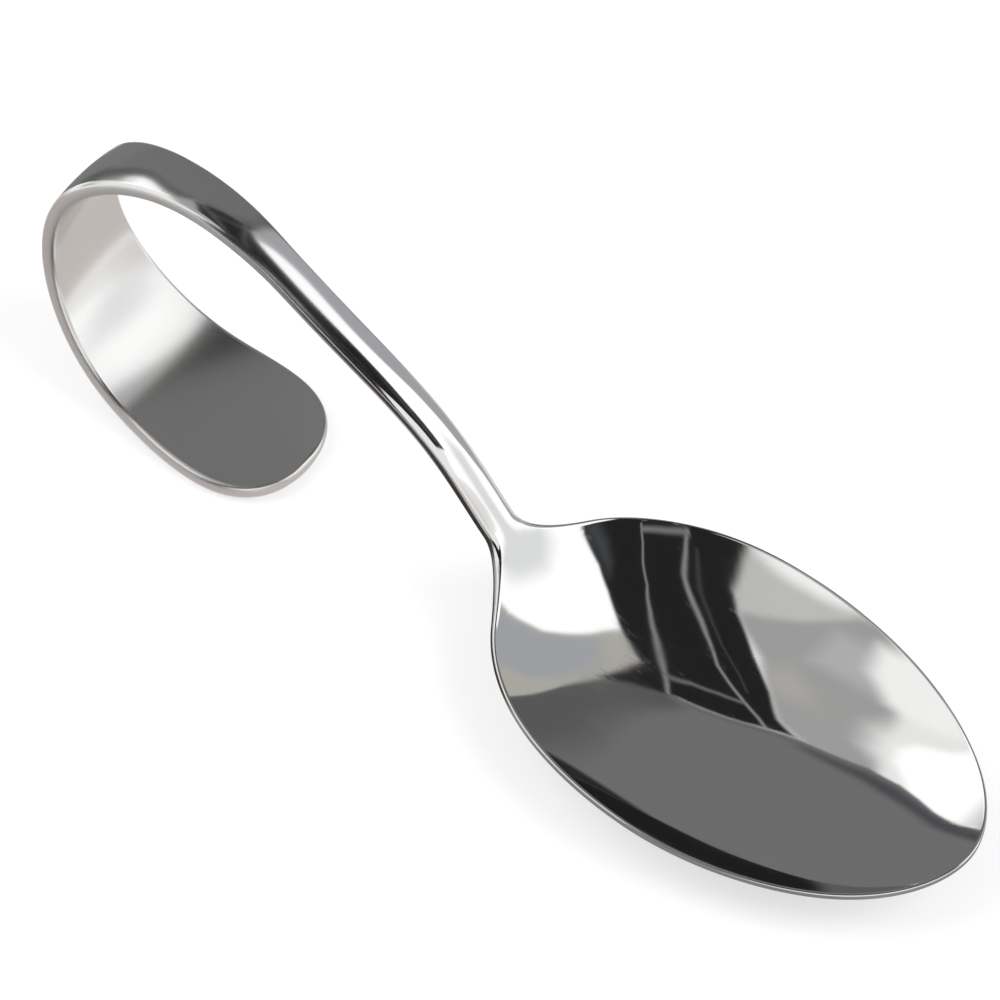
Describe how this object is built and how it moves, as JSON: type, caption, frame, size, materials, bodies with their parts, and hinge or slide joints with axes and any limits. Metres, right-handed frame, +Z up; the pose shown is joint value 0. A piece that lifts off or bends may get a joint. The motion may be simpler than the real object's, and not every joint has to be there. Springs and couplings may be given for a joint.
{
  "type": "baby spoon",
  "caption": "Polished stainless steel baby feeding spoon with an egg-shaped bowl, a narrow neck and a flared handle rolled over into a finger loop.",
  "frame": {"origin": "centre of the bounding box's bottom face, on the table that the spoon stands on", "axes": "+X from the finger loop to the front tip of the bowl, +Y across the bowl, +Z up from the table"},
  "size_m": [0.1232, 0.0412, 0.0348],
  "materials": {
    "steel": "mirror-polished stainless steel with fine wiping scratches and lightly ground edges"
  },
  "bodies": {
    "root": {"spoon": "steel"}
  },
  "joints": []
}
